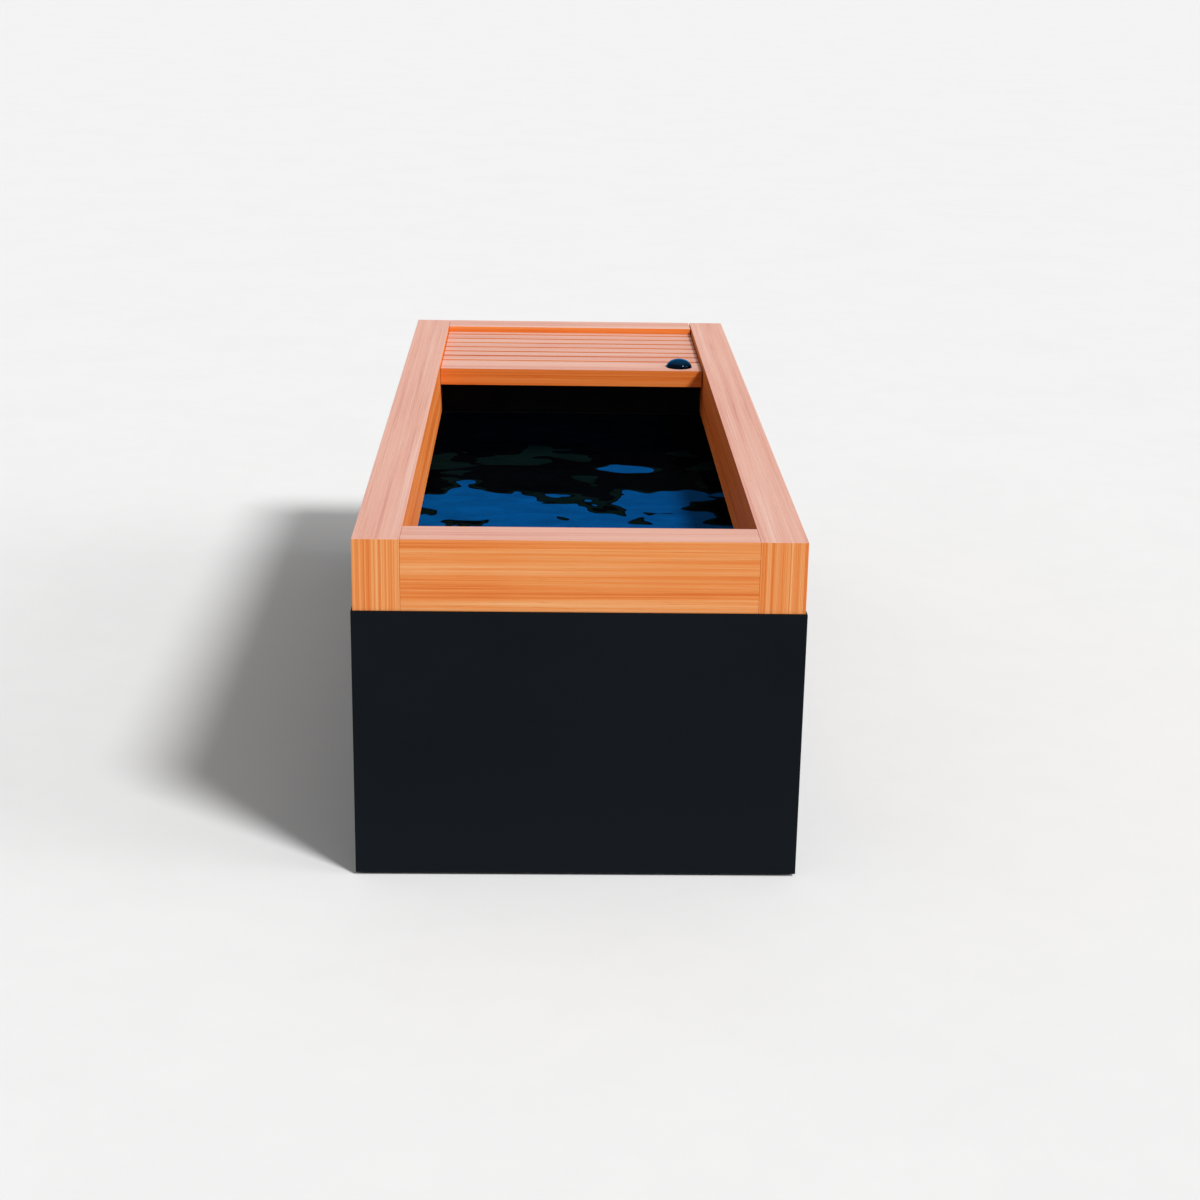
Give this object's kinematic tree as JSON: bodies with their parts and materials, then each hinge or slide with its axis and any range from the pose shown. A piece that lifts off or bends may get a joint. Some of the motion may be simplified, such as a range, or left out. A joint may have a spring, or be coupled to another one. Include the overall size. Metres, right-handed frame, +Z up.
{
  "type": "cold plunge tub",
  "caption": "Long insulated tub with a timber rim, charcoal cladding, a slatted lid over a chiller bay at one end and a domed push button on a cross board.",
  "frame": {"origin": "on the floor, under the middle of the tub", "axes": "+X to the right seen from the front end, +Y from the front end to the slatted rear end, +Z up"},
  "size_m": [0.857, 2.157, 0.686],
  "materials": {
    "cedar": "oiled, straight grain",
    "softwood": "planed",
    "cladding": "matte charcoal coating",
    "liner": "satin black moulding",
    "board": "dark sealed plywood",
    "foam": "closed-cell foam",
    "galvanised": "zinc coated",
    "runner": "recycled plastic",
    "button_black": "high gloss",
    "black_plastic": "moulded",
    "grey_plastic": "moulded",
    "white_plastic": "moulded",
    "brass": "machined",
    "spring_steel": "drawn wire",
    "fins": "rolled",
    "black_steel": "black coating",
    "hose": "reinforced hose",
    "pleats": "pleated filter paper",
    "lever_red": "dipped coating"
  },
  "bodies": {
    "tub": {"left_rail": "cedar", "right_rail": "cedar", "front_rail": "cedar", "rear_rail": "cedar", "header": "cedar", "left_cleat": "softwood", "right_cleat": "softwood", "front_panel": "cladding", "rear_panel": "cladding", "left_panel": "cladding", "right_panel": "cladding", "bulkhead": "liner", "basin": "liner", "base_board": "board", "foam_jacket": "foam", "front_left_post": "galvanised", "front_right_post": "galvanised", "rear_left_post": "galvanised", "rear_right_post": "galvanised", "left_skid": "runner", "right_skid": "runner", "suction_fitting": "black_plastic", "return_socket": "black_plastic", "drain_sump": "black_plastic", "button_housing": "black_plastic", "pump_casing": "black_plastic", "service_recess": "black_plastic", "power_inlet": "black_plastic", "drain_pipe": "grey_plastic", "control_box": "grey_plastic", "heat_exchanger": "white_plastic", "filter_housing": "white_plastic", "drain_valve": "brass", "button_spring": "spring_steel", "condenser": "fins", "compressor": "black_steel", "fan_shroud": "black_steel", "vent_grille": "black_steel", "pump_motor": "black_steel", "button_tube": "hose", "suction_hose": "hose", "filter_hose": "hose", "chiller_hose": "hose", "return_hose": "hose", "filter_cartridge": "pleats"},
    "lid": {"slat_1": "cedar", "slat_2": "cedar", "slat_3": "cedar", "slat_4": "cedar", "slat_5": "cedar", "slat_6": "cedar", "rear_slat": "cedar", "left_batten": "softwood", "right_batten": "softwood"},
    "button": {"button_dome": "button_black"},
    "lever": {"valve_lever": "lever_red"},
    "eyeball": {"return_eyeball": "grey_plastic"},
    "cap": {"filter_cap": "black_plastic"},
    "fan": {"fan_rotor": "black_plastic"},
    "impeller": {"pump_impeller": "grey_plastic"}
  },
  "joints": [
    {"name": "lid_lift", "type": "slide", "parent": "tub", "child": "lid", "axis": [0, 0, 1], "range_m": [0, 0.3]},
    {"name": "button_press", "type": "slide", "parent": "tub", "child": "button", "axis": [0, 0, -1], "range_m": [0, 0.004], "stiffness_N_per_m": 600, "springref_m": -0.004, "deforming": ["button_spring"]},
    {"name": "valve_turn", "type": "hinge", "parent": "tub", "child": "lever", "pos_m": [0, 1.0355, 0.0803], "axis": [0, 0, 1], "range_deg": [0, 90]},
    {"name": "eyeball_tilt", "type": "hinge", "parent": "tub", "child": "eyeball", "pos_m": [-0.0615, 0.5714, 0.4299], "axis": [1, 0, 0], "range_deg": [-15, 15]},
    {"name": "cap_turn", "type": "hinge", "parent": "tub", "child": "cap", "pos_m": [0.2875, 0.9775, 0.3], "axis": [0, 0, 1], "range_deg": [0, 60]},
    {"name": "fan_spin", "type": "hinge", "parent": "tub", "child": "fan", "pos_m": [-0.248, 1, 0.1636], "axis": [0, 1, 0], "continuous": true},
    {"name": "impeller_spin", "type": "hinge", "parent": "tub", "child": "impeller", "pos_m": [0.255, 0.727, 0.1186], "axis": [1, 0, 0], "continuous": true}
  ]
}
